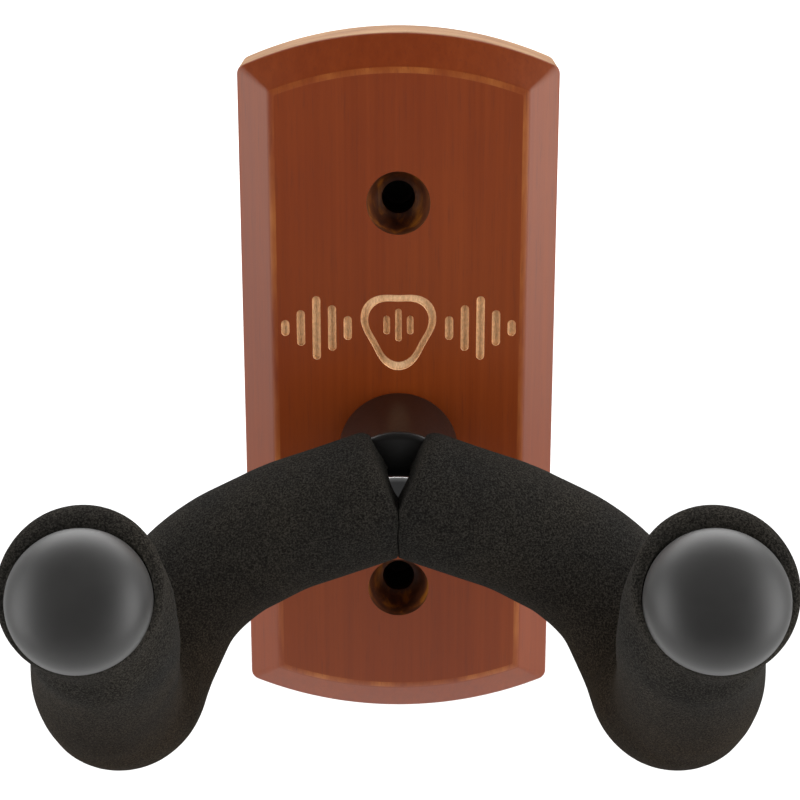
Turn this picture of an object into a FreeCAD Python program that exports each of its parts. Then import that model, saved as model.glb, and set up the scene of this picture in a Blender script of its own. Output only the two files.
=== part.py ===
import FreeCAD, Part
import math
import os
import Sketcher

from FreeCAD import Placement, Rotation, Vector

# Wall guitar hanger: a wood wall block, a swivelling steel yoke padded with foam,
# and the pivot hardware between them.
#
# Frame: the origin is the centre of the block's back (wall) face, +Y points into the
# wall, +Z is up and +X is to the right when facing the wall. Lengths are millimetres.
# Cells named "..._front" are distances in front of the wall, so they run along -Y.

DIMENSIONS = {
    # wall block
    "block_width": 61.4,
    "block_height": 139.7,
    "block_depth": 17.0,
    "block_side_height": 126.6,
    "bevel_width": 6.3,
    "bevel_depth": 4.0,
    "corner_radius": 1.6,
    "screw_spacing": 79.4,
    "screw_mid_drop": 1.8,
    "screw_hole_radius": 3.25,
    "screw_bowl_radius": 6.45,
    "screw_bowl_depth": 6.3,
    "screw_bowl_curve_radius": 6.7,
    "recess_radius": 11.5,
    "recess_depth": 11.5,
    "bush_bore_radius": 6.5,
    # pivot
    "pivot_drop": 11.5,
    "running_gap": 0.05,
    "face_gap": 0.1,
    "post_radius": 5.0,
    "post_thread_radius": 4.0,
    "post_tail_front": 0.5,
    "post_head_front": 34.0,
    "bush_tube_length": 5.4,
    "bush_flange_radius": 9.0,
    "bush_flange_thickness": 1.2,
    "thrust_washer_radius": 9.5,
    "thrust_washer_thickness": 1.2,
    "steel_washer_radius": 8.5,
    "steel_washer_thickness": 1.5,
    "nut_across_flats": 13.0,
    "nut_hex_height": 5.8,
    "nut_collar_height": 2.0,
    "nut_collar_radius": 5.9,
    "nut_ring_radius": 5.2,
    "nut_lip": 0.4,
    "nut_lip_radius": 4.6,
    "hub_radius": 11.8,
    "hub_front": 43.7,
    "hub_rim_radius": 1.3,
    # yoke rod: bend corners of the right half, x to the right and z up
    "rod_radius": 4.0,
    "crown_front": 45.8,
    "crown_z": -9.7,
    "crown_bend": 14.0,
    "brow_x": 20.8,
    "brow_z": -17.1,
    "brow_bend": 40.0,
    "shoulder_x": 38.0,
    "shoulder_z": -25.8,
    "shoulder_bend": 25.0,
    "elbow_x": 51.5,
    "elbow_front": 55.4,
    "elbow_z": -52.6,
    "elbow_bend": 14.5,
    "tip_x": 47.5,
    "tip_front": 113.1,
    "tip_z": -4.0,
    "rod_end_beyond_foam": 6.0,
    # foam sleeves and end caps
    "foam_radius": 12.5,
    "sleeve_half_gap": 0.15,
    "sleeve_lead": 9.0,
    "notch_z": -10.0,
    "notch_slope": 62.0,
    "cap_radius": 11.0,
    "cap_skirt": 2.6,
    "cap_height": 9.6,
    "cap_socket_depth": 6.2,
    "fit_gap": 0.02,
    "trim_reach": 40.0,
}

# Lengths (mm) and volumes (mm3) closer than this count as equal.
TOLERANCE = 1e-3

doc = FreeCAD.newDocument("wall_guitar_hanger")
sheet = doc.addObject("Spreadsheet::Sheet", "dims")
for row, (alias, size) in enumerate(DIMENSIONS.items(), start=1):
    sheet.set("A%d" % row, alias)
    sheet.set("B%d" % row, str(size))
    sheet.setAlias("B%d" % row, alias)
doc.recompute()


def split_terms(text):
    """Yield (sign, word) for a sum such as "block_depth - bevel_depth"."""
    sign = 1
    for word in text.split():
        if word in ("+", "-"):
            sign = 1 if word == "+" else -1
        else:
            yield sign, word
            sign = 1


def value(text):
    """Number that a sum of cell names stands for."""
    return sum(sign * DIMENSIONS[word] for sign, word in split_terms(text))


def formula(text, unit="mm"):
    """FreeCAD expression for the same sum of cell names."""
    words = ["%s dims.%s" % ("+" if sign > 0 else "-", word) for sign, word in split_terms(text)]
    return "(%s) * 1 %s" % (" ".join(words).lstrip("+ "), unit)


def new_body(name):
    body = doc.addObject("PartDesign::Body", name)
    body.Label = name
    return body


def origin_plane(body, role):
    return next(item for item in body.Origin.OriginFeatures if item.Role == role)


def new_sketch(body, name, role, offset=None):
    sketch = body.newObject("Sketcher::SketchObject", name)
    sketch.AttachmentSupport = (origin_plane(body, role), [""])
    sketch.MapMode = "FlatFace"
    if offset is not None:
        sketch.AttachmentOffset = offset
    return sketch


def fix(sketch, constraint, text=None, unit="mm"):
    """Add a constraint and, for a dimension, bind it to the sheet."""
    index = sketch.addConstraint(constraint)
    if text is not None:
        sketch.setExpression("Constraints[%d]" % index, formula(text, unit))
    return index


def fix_point(sketch, geometry, end, x_text, y_text):
    """Hold one end of a line at (x, y); an empty text puts it on that axis."""
    if x_text:
        fix(sketch, Sketcher.Constraint("DistanceX", -1, 1, geometry, end, value(x_text)), x_text)
    else:
        fix(sketch, Sketcher.Constraint("PointOnObject", geometry, end, -2))
    if y_text:
        fix(sketch, Sketcher.Constraint("DistanceY", -1, 1, geometry, end, value(y_text)), y_text)
    else:
        fix(sketch, Sketcher.Constraint("PointOnObject", geometry, end, -1))


def closed_profile(sketch, corners):
    """Closed polygon through corners given as pairs of cell sums."""
    spots = [
        Vector(value(x_text) if x_text else 0, value(y_text) if y_text else 0, 0)
        for x_text, y_text in corners
    ]
    for number, spot in enumerate(spots):
        following = spots[(number + 1) % len(spots)]
        sketch.addGeometry(Part.LineSegment(spot, following), False)
    for number, (x_text, y_text) in enumerate(corners):
        fix(sketch, Sketcher.Constraint("Coincident", number - 1 if number else len(corners) - 1,
                                        2, number, 1))
        fix_point(sketch, number, 1, x_text, y_text)


def add_arc(sketch, first, middle, last):
    """Add an arc through three points; return its end numbers at first and last."""
    centre = Part.Arc(first, middle, last).toShape().Curve.Center
    turns_left = (middle - first).cross(last - middle).z > 0
    begin, finish = (first, last) if turns_left else (last, first)
    start_angle = math.atan2(begin.y - centre.y, begin.x - centre.x)
    end_angle = math.atan2(finish.y - centre.y, finish.x - centre.x)
    if end_angle < start_angle:
        end_angle += 2 * math.pi
    circle = Part.Circle(centre, Vector(0, 0, 1), (first - centre).Length)
    sketch.addGeometry(Part.ArcOfCircle(circle, start_angle, end_angle), False)
    return (1, 2) if turns_left else (2, 1)


def circle_sketch(body, name, role, offset, radius_text):
    sketch = new_sketch(body, name, role, offset)
    sketch.addGeometry(Part.Circle(Vector(0, 0, 0), Vector(0, 0, 1), value(radius_text)), False)
    fix(sketch, Sketcher.Constraint("Coincident", 0, 3, -1, 1))
    fix(sketch, Sketcher.Constraint("Radius", 0, value(radius_text)), radius_text)
    return sketch


# A turned profile has x = distance in front of the wall and y = radius.
FACING_FRONT = Rotation(Vector(0, 1, 0), 180)


def turned(name, corners, drop_text="pivot_drop"):
    """Body of revolution about a horizontal axis square to the wall."""
    body = new_body(name)
    add_turned(body, name, "PartDesign::Revolution", corners, drop_text)
    return body


def add_turned(body, name, kind, corners, drop_text):
    offset = Placement(Vector(0, -value(drop_text), 0), FACING_FRONT)
    sketch = new_sketch(body, name + "_profile", "YZ_Plane", offset)
    sketch.setExpression("AttachmentOffset.Base.y", "-(%s)" % formula(drop_text))
    closed_profile(sketch, corners)
    feature = body.newObject(kind, name + "_turn")
    feature.Profile = sketch
    feature.ReferenceAxis = (sketch, ["H_Axis"])
    feature.Angle = 360.0
    doc.recompute()
    return feature


def check_removed(body, before, what):
    doc.recompute()
    if body.Shape.Volume >= before - TOLERANCE:
        raise RuntimeError("%s removed nothing" % what)


# ---------------------------------------------------------------- wall block

# Radius of an arc through both corners and the crown.
ARCH_RADIUS_FORMULA = (
    "(dims.block_width ^ 2 / 4 + (dims.block_height - dims.block_side_height) ^ 2 / 4)"
    " / (dims.block_height - dims.block_side_height) * 1 mm"
)


def wall_block():
    body = new_body("wall_block")
    outline = new_sketch(body, "block_outline", "XZ_Plane")
    half_width = value("block_width") / 2
    half_side = value("block_side_height") / 2
    half_height = value("block_height") / 2
    corners = [
        Vector(-half_width, -half_side, 0), Vector(half_width, -half_side, 0),
        Vector(half_width, half_side, 0), Vector(-half_width, half_side, 0),
    ]
    crown = Vector(0, half_height, 0)
    outline.addGeometry(Part.LineSegment(corners[1], corners[2]), False)
    top_start, top_end = add_arc(outline, corners[2], crown, corners[3])
    outline.addGeometry(Part.LineSegment(corners[3], corners[0]), False)
    bottom_start, bottom_end = add_arc(outline, corners[0], -crown, corners[1])
    for pair in ((0, 2, 1, top_start), (1, top_end, 2, 1), (2, 2, 3, bottom_start),
                 (3, bottom_end, 0, 1)):
        fix(outline, Sketcher.Constraint("Coincident", *pair))
    fix(outline, Sketcher.Constraint("Symmetric", 0, 2, 2, 1, -2))
    fix(outline, Sketcher.Constraint("Symmetric", 0, 2, 2, 2, -1, 1))
    fix(outline, Sketcher.Constraint("Symmetric", 2, 1, 0, 1, -1, 1))
    fix(outline, Sketcher.Constraint("DistanceX", 2, 1, 0, 2, value("block_width")), "block_width")
    fix(outline, Sketcher.Constraint("DistanceY", 0, 1, 0, 2, value("block_side_height")),
        "block_side_height")
    for arc in (1, 3):
        index = fix(outline, Sketcher.Constraint("Radius", arc, outline.Geometry[arc].Radius))
        outline.setExpression("Constraints[%d]" % index, ARCH_RADIUS_FORMULA)
    doc.recompute()

    pad = body.newObject("PartDesign::Pad", "block_pad")
    pad.Profile = outline
    pad.setExpression("Length", formula("block_depth"))
    doc.recompute()

    face = max(
        range(len(pad.Shape.Faces)),
        key=lambda index: -pad.Shape.Faces[index].CenterOfMass.y,
    )
    bevel = body.newObject("PartDesign::Chamfer", "block_bevel")
    bevel.Base = (pad, ["Face%d" % (face + 1)])
    bevel.ChamferType = "Two distances"
    bevel.setExpression("Size", formula("bevel_depth"))
    bevel.setExpression("Size2", formula("bevel_width"))
    doc.recompute()
    flat = min(bevel.Shape.Faces, key=lambda one: one.CenterOfMass.y)
    wanted = value("block_width") - 2 * value("bevel_width")
    if abs(flat.BoundBox.XLength - wanted) > TOLERANCE:
        bevel.FlipDirection = True
        doc.recompute()

    corner_edges = [
        "Edge%d" % number
        for number, edge in enumerate(bevel.Shape.Edges, start=1)
        if edge.BoundBox.YLength > TOLERANCE and abs(edge.CenterOfMass.x) > half_width / 2
    ]
    rounding = body.newObject("PartDesign::Fillet", "block_corners")
    rounding.Base = (bevel, corner_edges)
    rounding.setExpression("Radius", formula("corner_radius"))
    doc.recompute()

    middle_z = -value("screw_mid_drop")
    for side, name in ((1, "upper"), (-1, "lower")):
        hole_z = middle_z + side * value("screw_spacing") / 2
        before = body.Shape.Volume
        screw_hole(body, name, hole_z)
        check_removed(body, before, name + " screw hole")

    before = body.Shape.Volume
    add_turned(body, "block_bore", "PartDesign::Groove", [
        ("", ""), ("", "recess_radius"), ("recess_depth", "recess_radius"),
        ("recess_depth", "bush_bore_radius"), ("block_depth + bevel_depth", "bush_bore_radius"),
        ("block_depth + bevel_depth", ""),
    ], "pivot_drop")
    check_removed(body, before, "pivot bore")
    return body


def screw_hole(body, name, hole_z):
    """Straight hole that opens into a deep rounded bowl at the front."""
    sketch = new_sketch(body, name + "_screw_profile", "YZ_Plane",
                        Placement(Vector(0, hole_z, 0), FACING_FRONT))
    depth = value("block_depth")
    bore = value("screw_hole_radius")
    bowl = value("screw_bowl_radius")
    neck = depth - value("screw_bowl_depth")
    curve_radius = value("screw_bowl_curve_radius")
    chord = Vector(depth - neck, bowl - bore, 0)
    sagitta = curve_radius - math.sqrt(curve_radius ** 2 - chord.Length ** 2 / 4)
    outward = Vector(-chord.y, chord.x, 0).normalize()
    bulge = Vector(neck, bore, 0) + chord / 2 + outward * sagitta
    spots = [Vector(0, 0, 0), Vector(0, bore, 0), Vector(neck, bore, 0), Vector(depth, bowl, 0),
             Vector(depth, 0, 0)]
    sketch.addGeometry(Part.LineSegment(spots[0], spots[1]), False)
    sketch.addGeometry(Part.LineSegment(spots[1], spots[2]), False)
    arc_start, arc_end = add_arc(sketch, spots[2], bulge, spots[3])
    sketch.addGeometry(Part.LineSegment(spots[3], spots[4]), False)
    sketch.addGeometry(Part.LineSegment(spots[4], spots[0]), False)
    for pair in ((0, 2, 1, 1), (1, 2, 2, arc_start), (2, arc_end, 3, 1), (3, 2, 4, 1), (4, 2, 0, 1)):
        fix(sketch, Sketcher.Constraint("Coincident", *pair))
    fix(sketch, Sketcher.Constraint("Coincident", 0, 1, -1, 1))
    fix_point(sketch, 1, 1, "", "screw_hole_radius")
    fix_point(sketch, 1, 2, "block_depth - screw_bowl_depth", "screw_hole_radius")
    fix_point(sketch, 3, 1, "block_depth", "screw_bowl_radius")
    fix_point(sketch, 3, 2, "block_depth", "")
    fix(sketch, Sketcher.Constraint("Radius", 2, curve_radius), "screw_bowl_curve_radius")
    groove = body.newObject("PartDesign::Groove", name + "_screw_hole")
    groove.Profile = sketch
    groove.ReferenceAxis = (sketch, ["H_Axis"])
    groove.Angle = 360.0


# ---------------------------------------------------------------- pivot hardware

# Faces along the pivot, as distances in front of the wall.
BUSH_FRONT = "block_depth + bush_flange_thickness"
HUB_REAR = BUSH_FRONT + " + face_gap"
THRUST_FRONT = "recess_depth - fit_gap"
THRUST_REAR = THRUST_FRONT + " - thrust_washer_thickness"
SHOULDER = THRUST_REAR + " - face_gap"
STEEL_FRONT = SHOULDER + " - fit_gap"
STEEL_REAR = STEEL_FRONT + " - steel_washer_thickness"
NUT_FRONT = STEEL_REAR + " - fit_gap"
HEX_END = NUT_FRONT + " - nut_hex_height"
NUT_REAR = HEX_END + " - nut_collar_height"
POST_BORE = "post_radius + running_gap"
THREAD_BORE = "post_thread_radius + fit_gap"


def ring(name, rear, front, inner, outer):
    return turned(name, [(rear, inner), (rear, outer), (front, outer), (front, inner)])


def pivot_bush():
    tube_radius = "bush_bore_radius - fit_gap"
    flange_rear = "block_depth + fit_gap"
    return turned("pivot_bush", [
        ("block_depth - bush_tube_length", POST_BORE),
        ("block_depth - bush_tube_length", tube_radius),
        (flange_rear, tube_radius),
        (flange_rear, "bush_flange_radius"),
        (BUSH_FRONT, "bush_flange_radius"),
        (BUSH_FRONT, POST_BORE),
    ])


def pivot_post():
    return turned("pivot_post", [
        ("post_tail_front", ""), ("post_tail_front", "post_thread_radius"),
        (SHOULDER, "post_thread_radius"), (SHOULDER, "post_radius"),
        ("post_head_front", "post_radius"), ("post_head_front", ""),
    ])


def lock_nut():
    """Hexagon with a round collar that holds the locking ring."""
    body = new_body("lock_nut")
    offset = Placement(Vector(0, -value("pivot_drop"), value(HEX_END)), Rotation())
    sketch = new_sketch(body, "nut_hexagon", "XZ_Plane", offset)
    sketch.setExpression("AttachmentOffset.Base.y", "-(%s)" % formula("pivot_drop"))
    sketch.setExpression("AttachmentOffset.Base.z", formula(HEX_END))
    flats = value("nut_across_flats")
    reach = flats / math.sqrt(3)
    points = [
        Vector(reach * math.cos(math.radians(60 * corner)),
               reach * math.sin(math.radians(60 * corner)), 0)
        for corner in range(6)
    ]
    for corner in range(6):
        sketch.addGeometry(Part.LineSegment(points[corner], points[(corner + 1) % 6]), False)
    sketch.addGeometry(Part.Circle(Vector(0, 0, 0), Vector(0, 0, 1), reach), True)
    for corner in range(6):
        fix(sketch, Sketcher.Constraint("Coincident", corner, 2, (corner + 1) % 6, 1))
        fix(sketch, Sketcher.Constraint("PointOnObject", corner, 1, 6))
        if corner:
            fix(sketch, Sketcher.Constraint("Equal", 0, corner))
    fix(sketch, Sketcher.Constraint("Coincident", 6, 3, -1, 1))
    fix(sketch, Sketcher.Constraint("PointOnObject", 0, 1, -1))
    fix(sketch, Sketcher.Constraint("Distance", 1, 1, 4, flats), "nut_across_flats")
    pad = body.newObject("PartDesign::Pad", "nut_pad")
    pad.Profile = sketch
    pad.setExpression("Length", formula("nut_hex_height"))
    doc.recompute()

    add_turned(body, "nut_collar", "PartDesign::Revolution", [
        (NUT_REAR, ""), (NUT_REAR, "nut_collar_radius"),
        (HEX_END + " + nut_lip", "nut_collar_radius"), (HEX_END + " + nut_lip", ""),
    ], "pivot_drop")
    before = body.Shape.Volume
    add_turned(body, "nut_bore", "PartDesign::Groove", [
        (NUT_REAR, ""), (NUT_REAR, "nut_lip_radius"),
        (NUT_REAR + " + nut_lip", "nut_lip_radius"), (NUT_REAR + " + nut_lip", "nut_ring_radius"),
        (HEX_END, "nut_ring_radius"), (HEX_END, THREAD_BORE),
        (NUT_FRONT, THREAD_BORE), (NUT_FRONT, ""),
    ], "pivot_drop")
    check_removed(body, before, "nut bore")
    return body


# ---------------------------------------------------------------- bent rod and sleeves

def corner_at(name):
    return Vector(value(name + "_x"), -value(name + "_front"), value(name + "_z"))


def tangent_length(before, corner, after, radius):
    turn = (corner - before).getAngle(after - corner)
    return radius * math.tan(turn / 2)


CROWN = Vector(0, -value("crown_front"), value("crown_z"))
BROW = Vector(value("brow_x"), -value("crown_front"), value("brow_z"))
SHOULDER_BEND = Vector(value("shoulder_x"), -value("crown_front"), value("shoulder_z"))
ELBOW = corner_at("elbow")
TIP = corner_at("tip")
ARM_DIRECTION = (TIP - ELBOW).normalize()


def split_between(first, second, first_use, second_use):
    """Point halfway along the straight run that two bends leave of a leg."""
    leg = second - first
    straight = leg.Length - first_use - second_use
    if straight < 0:
        raise RuntimeError("two bends of the rod overlap")
    return first + leg.normalize() * (first_use + straight / 2)


LEFT_BROW = Vector(-BROW.x, BROW.y, BROW.z)
CROWN_USE = tangent_length(LEFT_BROW, CROWN, BROW, value("crown_bend"))
BROW_USE = tangent_length(CROWN, BROW, SHOULDER_BEND, value("brow_bend"))
SHOULDER_USE = tangent_length(BROW, SHOULDER_BEND, ELBOW, value("shoulder_bend"))
ELBOW_USE = tangent_length(SHOULDER_BEND, ELBOW, TIP, value("elbow_bend"))
CROWN_SPLIT = split_between(CROWN, BROW, CROWN_USE, BROW_USE)
BROW_SPLIT = split_between(BROW, SHOULDER_BEND, BROW_USE, SHOULDER_USE)
ELBOW_SPLIT = split_between(SHOULDER_BEND, ELBOW, SHOULDER_USE, ELBOW_USE)


def add_bend(body, name, kind, start, corner, end, radius_text, bend_text):
    """Sweep a round section along one straight run, bend and straight run."""
    along = (corner - start).normalize()
    normal = along.cross(end - corner).normalize()
    side = normal.cross(along)
    first_leg = (corner - start).Length
    second_leg = (end - corner).Length
    turn = along.getAngle(end - corner)
    bend_radius = value(bend_text)
    used = bend_radius * math.tan(turn / 2)

    path = new_sketch(body, name + "_path", "XY_Plane",
                      Placement(start, Rotation(along, side, normal, "ZXY")))
    centre = Vector(first_leg - used, bend_radius, 0)
    bend_end = centre + Vector(math.sin(turn), -math.cos(turn), 0) * bend_radius
    path_end = Vector(first_leg + second_leg * math.cos(turn), second_leg * math.sin(turn), 0)
    path.addGeometry(Part.LineSegment(Vector(0, 0, 0), Vector(centre.x, 0, 0)), False)
    circle = Part.Circle(centre, Vector(0, 0, 1), bend_radius)
    path.addGeometry(Part.ArcOfCircle(circle, -math.pi / 2, turn - math.pi / 2), False)
    path.addGeometry(Part.LineSegment(bend_end, path_end), False)
    path.addGeometry(Part.Point(Vector(first_leg, 0, 0)), True)
    fix(path, Sketcher.Constraint("Coincident", 0, 1, -1, 1))
    fix(path, Sketcher.Constraint("Horizontal", 0))
    fix(path, Sketcher.Constraint("Tangent", 0, 2, 1, 1))
    fix(path, Sketcher.Constraint("Tangent", 1, 2, 2, 1))
    fix(path, Sketcher.Constraint("Radius", 1, bend_radius), bend_text)
    fix(path, Sketcher.Constraint("PointOnObject", 3, 1, -1))
    fix(path, Sketcher.Constraint("DistanceX", -1, 1, 3, 1, first_leg))
    fix(path, Sketcher.Constraint("PointOnObject", 3, 1, 2))
    fix(path, Sketcher.Constraint("Distance", 3, 1, 2, 2, second_leg))
    fix(path, Sketcher.Constraint("Angle", 0, 2, turn))

    section = circle_sketch(body, name + "_section", "XY_Plane",
                            Placement(start, Rotation(side, normal, along, "ZXY")), radius_text)
    pipe = body.newObject(kind, name)
    pipe.Profile = section
    pipe.Spine = (path, ["Edge1", "Edge2", "Edge3"])
    doc.recompute()
    return pipe


def right_half_bends(body, name, kind, start, end, radius_text):
    """The three bends of the right half, each swept from the last one's end."""
    runs = (
        ("brow", start, BROW, BROW_SPLIT, "brow_bend"),
        ("shoulder", BROW_SPLIT, SHOULDER_BEND, ELBOW_SPLIT, "shoulder_bend"),
        ("elbow", ELBOW_SPLIT, ELBOW, end, "elbow_bend"),
    )
    return [
        add_bend(body, "%s_%s" % (name, part), kind, first, corner, last, radius_text, bend_text)
        for part, first, corner, last, bend_text in runs
    ]


def add_crown(body, name, kind, radius_text):
    left_split = Vector(-CROWN_SPLIT.x, CROWN_SPLIT.y, CROWN_SPLIT.z)
    return add_bend(body, name, kind, left_split, CROWN, CROWN_SPLIT, radius_text, "crown_bend")


def yoke_rod():
    body = new_body("yoke_rod")
    add_crown(body, "rod_crown", "PartDesign::AdditivePipe", "rod_radius")
    rod_end = TIP + ARM_DIRECTION * value("rod_end_beyond_foam")
    bends = right_half_bends(body, "rod", "PartDesign::AdditivePipe", CROWN_SPLIT, rod_end,
                             "rod_radius")
    left_half = body.newObject("PartDesign::Mirrored", "rod_left_half")
    left_half.Originals = bends
    left_half.MirrorPlane = (origin_plane(body, "YZ_Plane"), [""])
    body.Tip = left_half
    doc.recompute()
    return body


def hub():
    """Round boss with a blind bore for the post and a saddle for the rod."""
    bore_radius = "post_radius + fit_gap"
    bore_end = "post_head_front + fit_gap"
    body = turned("hub", [
        (HUB_REAR, bore_radius), (HUB_REAR, "hub_radius"), ("hub_front", "hub_radius"),
        ("hub_front", ""), (bore_end, ""), (bore_end, bore_radius),
    ])
    front = -value("hub_front")
    rim = [
        "Edge%d" % number
        for number, edge in enumerate(body.Shape.Edges, start=1)
        if abs(edge.BoundBox.YMin - front) < TOLERANCE
        and abs(edge.BoundBox.YMax - front) < TOLERANCE
        and edge.BoundBox.XMax > value("hub_radius") - TOLERANCE
    ]
    turned_shape = body.Tip
    rounding = body.newObject("PartDesign::Fillet", "hub_rim")
    rounding.Base = (turned_shape, rim)
    rounding.setExpression("Radius", formula("hub_rim_radius"))
    doc.recompute()
    before = body.Shape.Volume
    add_crown(body, "hub_saddle", "PartDesign::SubtractivePipe", "rod_radius + fit_gap")
    check_removed(body, before, "hub saddle")
    return body


def foam_right():
    """Sleeve over the rod's right half, pinched against its twin below the rod."""
    body = new_body("foam_right")
    inward = (CROWN - BROW).normalize()
    start = CROWN + inward * value("sleeve_lead")
    right_half_bends(body, "foam_right", "PartDesign::AdditivePipe", start, TIP, "foam_radius")
    trim_sleeve(body)
    relieve_for_hub(body)
    before = body.Shape.Volume
    right_half_bends(body, "foam_right_bore", "PartDesign::SubtractivePipe", CROWN_SPLIT, TIP,
                     "rod_radius + fit_gap")
    add_crown(body, "foam_right_bore_crown", "PartDesign::SubtractivePipe", "rod_radius + fit_gap")
    check_removed(body, before, "sleeve bore")
    return body


def trim_sleeve(body):
    """Cut the sleeve at the centre plane, opening to a notch above the rod."""
    reach = value("trim_reach")
    sketch = new_sketch(body, "sleeve_trim", "XZ_Plane", Placement(Vector(-reach, -reach, 0), Rotation()))
    side_text = "trim_reach + sleeve_half_gap"
    foot_text = "trim_reach + notch_z"
    top_text = "trim_reach + trim_reach"
    slope = math.tan(math.radians(value("notch_slope")))
    top_x = value(side_text) + (value(top_text) - value(foot_text)) / slope
    spots = [
        Vector(0, 0, 0), Vector(value(side_text), 0, 0), Vector(value(side_text), value(foot_text), 0),
        Vector(top_x, value(top_text), 0), Vector(0, value(top_text), 0),
    ]
    for number, spot in enumerate(spots):
        sketch.addGeometry(Part.LineSegment(spot, spots[(number + 1) % len(spots)]), False)
    for number in range(len(spots)):
        fix(sketch, Sketcher.Constraint("Coincident", number, 2, (number + 1) % len(spots), 1))
    fix(sketch, Sketcher.Constraint("Coincident", 0, 1, -1, 1))
    fix_point(sketch, 1, 1, side_text, "")
    fix_point(sketch, 2, 1, side_text, foot_text)
    fix_point(sketch, 4, 1, "", top_text)
    fix(sketch, Sketcher.Constraint("Horizontal", 3))
    fix(sketch, Sketcher.Constraint("Angle", 2, math.radians(value("notch_slope"))),
        "notch_slope", "deg")
    before = body.Shape.Volume
    trim = body.newObject("PartDesign::Pocket", "sleeve_notch")
    trim.Profile = sketch
    trim.Type = "ThroughAll"
    trim.SideType = "Symmetric"
    check_removed(body, before, "sleeve notch")


def relieve_for_hub(body):
    """Pocket in the sleeve's back that the front of the hub sits in."""
    front_text = "hub_front + fit_gap"
    offset = Placement(Vector(0, -value("pivot_drop"), value(front_text)), Rotation())
    sketch = circle_sketch(body, "hub_relief_circle", "XZ_Plane", offset, "hub_radius + fit_gap")
    sketch.setExpression("AttachmentOffset.Base.y", "-(%s)" % formula("pivot_drop"))
    sketch.setExpression("AttachmentOffset.Base.z", formula(front_text))
    before = body.Shape.Volume
    relief = body.newObject("PartDesign::Pocket", "hub_relief")
    relief.Profile = sketch
    relief.Type = "ThroughAll"
    check_removed(body, before, "hub relief")


# Radius of the cap's dome, an arc from the skirt's edge to the crown.
DOME_RADIUS_FORMULA = (
    "(dims.cap_radius ^ 2 + (dims.cap_height - dims.cap_skirt) ^ 2)"
    " / (2 * (dims.cap_height - dims.cap_skirt)) * 1 mm"
)


def cap_right():
    """Domed cap pushed over the rod's end, turned about its own Z axis."""
    body = new_body("cap_right")
    sketch = new_sketch(body, "cap_profile", "XZ_Plane")
    outer = value("cap_radius")
    skirt = value("cap_skirt")
    height = value("cap_height")
    bore_text = "rod_radius + fit_gap"
    bore = value(bore_text)
    socket = value("cap_socket_depth")
    dome_radius = (outer ** 2 + (height - skirt) ** 2) / (2 * (height - skirt))
    shoulder_angle = math.atan2(outer, dome_radius - (height - skirt)) / 2
    bulge = Vector(dome_radius * math.sin(shoulder_angle),
                   height - dome_radius * (1 - math.cos(shoulder_angle)), 0)
    spots = [Vector(bore, 0, 0), Vector(outer, 0, 0), Vector(outer, skirt, 0), Vector(0, height, 0),
             Vector(0, socket, 0), Vector(bore, socket, 0)]
    sketch.addGeometry(Part.LineSegment(spots[0], spots[1]), False)
    sketch.addGeometry(Part.LineSegment(spots[1], spots[2]), False)
    arc_start, arc_end = add_arc(sketch, spots[2], bulge, spots[3])
    for number in (3, 4, 5):
        sketch.addGeometry(Part.LineSegment(spots[number], spots[(number + 1) % 6]), False)
    for pair in ((0, 2, 1, 1), (1, 2, 2, arc_start), (2, arc_end, 3, 1), (3, 2, 4, 1),
                 (4, 2, 5, 1), (5, 2, 0, 1)):
        fix(sketch, Sketcher.Constraint("Coincident", *pair))
    fix_point(sketch, 0, 1, bore_text, "")
    fix_point(sketch, 1, 1, "cap_radius", "")
    fix_point(sketch, 1, 2, "cap_radius", "cap_skirt")
    fix_point(sketch, 3, 1, "", "cap_height")
    fix_point(sketch, 4, 1, "", "cap_socket_depth")
    fix_point(sketch, 5, 1, bore_text, "cap_socket_depth")
    index = fix(sketch, Sketcher.Constraint("Radius", 2, dome_radius))
    sketch.setExpression("Constraints[%d]" % index, DOME_RADIUS_FORMULA)
    turn = body.newObject("PartDesign::Revolution", "cap_turn")
    turn.Profile = sketch
    turn.ReferenceAxis = (sketch, ["V_Axis"])
    turn.Angle = 360.0
    body.Placement = Placement(TIP + ARM_DIRECTION * value("fit_gap"),
                               Rotation(Vector(0, 0, 1), ARM_DIRECTION))
    doc.recompute()
    return body


def mirrored_twin(name, source):
    twin = doc.addObject("Part::Mirroring", name)
    twin.Label = name
    twin.Source = source
    twin.Normal = Vector(1, 0, 0)
    twin.Base = Vector(0, 0, 0)
    doc.recompute()
    return twin


# ---------------------------------------------------------------- build and export

sleeve = foam_right()
cap = cap_right()
parts = [
    wall_block(),
    pivot_bush(),
    ring("thrust_washer", THRUST_REAR, THRUST_FRONT, POST_BORE, "thrust_washer_radius"),
    hub(),
    pivot_post(),
    ring("steel_washer", STEEL_REAR, STEEL_FRONT, THREAD_BORE, "steel_washer_radius"),
    lock_nut(),
    ring("nut_ring", NUT_REAR + " + nut_lip + fit_gap", HEX_END + " - fit_gap", THREAD_BORE,
         "nut_ring_radius - fit_gap"),
    yoke_rod(),
    sleeve,
    mirrored_twin("foam_left", sleeve),
    cap,
    mirrored_twin("cap_left", cap),
]
doc.recompute()

for item in doc.Objects:
    if "Invalid" in item.State or "Error" in item.State:
        raise RuntimeError("%s did not recompute: %s" % (item.Name, item.State))
for part in parts:
    if part.Shape.isNull() or not part.Shape.isValid():
        raise RuntimeError("%s has no valid shape" % part.Label)
    if len(part.Shape.Solids) != 1:
        raise RuntimeError("%s is not one solid" % part.Label)

os.makedirs("parts", exist_ok=True)
for part in parts:
    part.Shape.exportStep("parts/%s.step" % part.Label)
    box = part.Shape.optimalBoundingBox()
    print("%-14s %9.1f mm3  x %.1f..%.1f  y %.1f..%.1f  z %.1f..%.1f" % (
        part.Label, part.Shape.Volume, box.XMin, box.XMax, box.YMin, box.YMax, box.ZMin, box.ZMax))
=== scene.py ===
import math

import bmesh
import bpy
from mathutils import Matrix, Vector, noise


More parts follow.
